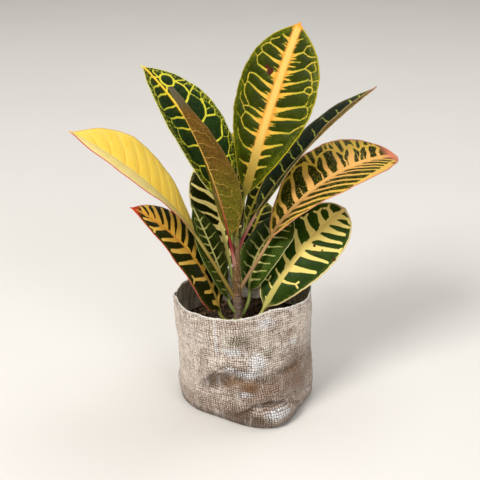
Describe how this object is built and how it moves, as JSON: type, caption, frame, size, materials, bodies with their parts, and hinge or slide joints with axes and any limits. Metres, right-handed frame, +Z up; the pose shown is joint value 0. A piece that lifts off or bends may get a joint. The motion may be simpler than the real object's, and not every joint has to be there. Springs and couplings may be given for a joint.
{
  "type": "potted croton plant",
  "caption": "Young croton with broad variegated leaves on a short woody stem, standing in a soil-filled, cut-down woven grow bag.",
  "frame": {"origin": "on the bag's flat underside, straight below the stem's foot", "axes": "+Z up along the height of the plant; -Y to the plant's front; +X to its right as seen from the front"},
  "size_m": [0.365, 0.2391, 0.4441],
  "materials": {
    "woven_tape": "dull weathered woven polypropylene tape",
    "soil": "dark crumbly potting soil",
    "bark": "smooth green bark above, grey leaf-scarred bark below",
    "young_leaf": "waxy young leaf",
    "olive_leaf": "waxy leaf, olive with yellow veins",
    "dark_leaf": "waxy leaf, dark green with yellow veins",
    "khaki_leaf": "leaf seen from below, khaki with a red midrib",
    "yellow_leaf": "waxy leaf, lemon yellow",
    "green_leaf": "waxy leaf, green with pale veins",
    "orange_leaf": "waxy leaf, dark green with orange veins"
  },
  "bodies": {
    "root": {"grow_bag": "woven_tape", "soil": "soil", "stem": "bark", "young_leaf": "young_leaf", "crown_leaf": "olive_leaf", "upper_left_leaf": "dark_leaf", "folded_front_leaf": "khaki_leaf", "yellow_leaf": "yellow_leaf", "lower_left_leaf": "dark_leaf", "middle_left_leaf": "dark_leaf", "small_green_leaf": "green_leaf", "narrow_right_leaf": "dark_leaf", "orange_leaf": "orange_leaf", "lower_right_leaf": "dark_leaf", "inner_right_leaf": "green_leaf", "back_right_leaf": "dark_leaf", "rear_leaf": "dark_leaf", "rear_left_leaf": "dark_leaf", "low_rear_leaf": "dark_leaf"}
  },
  "joints": []
}
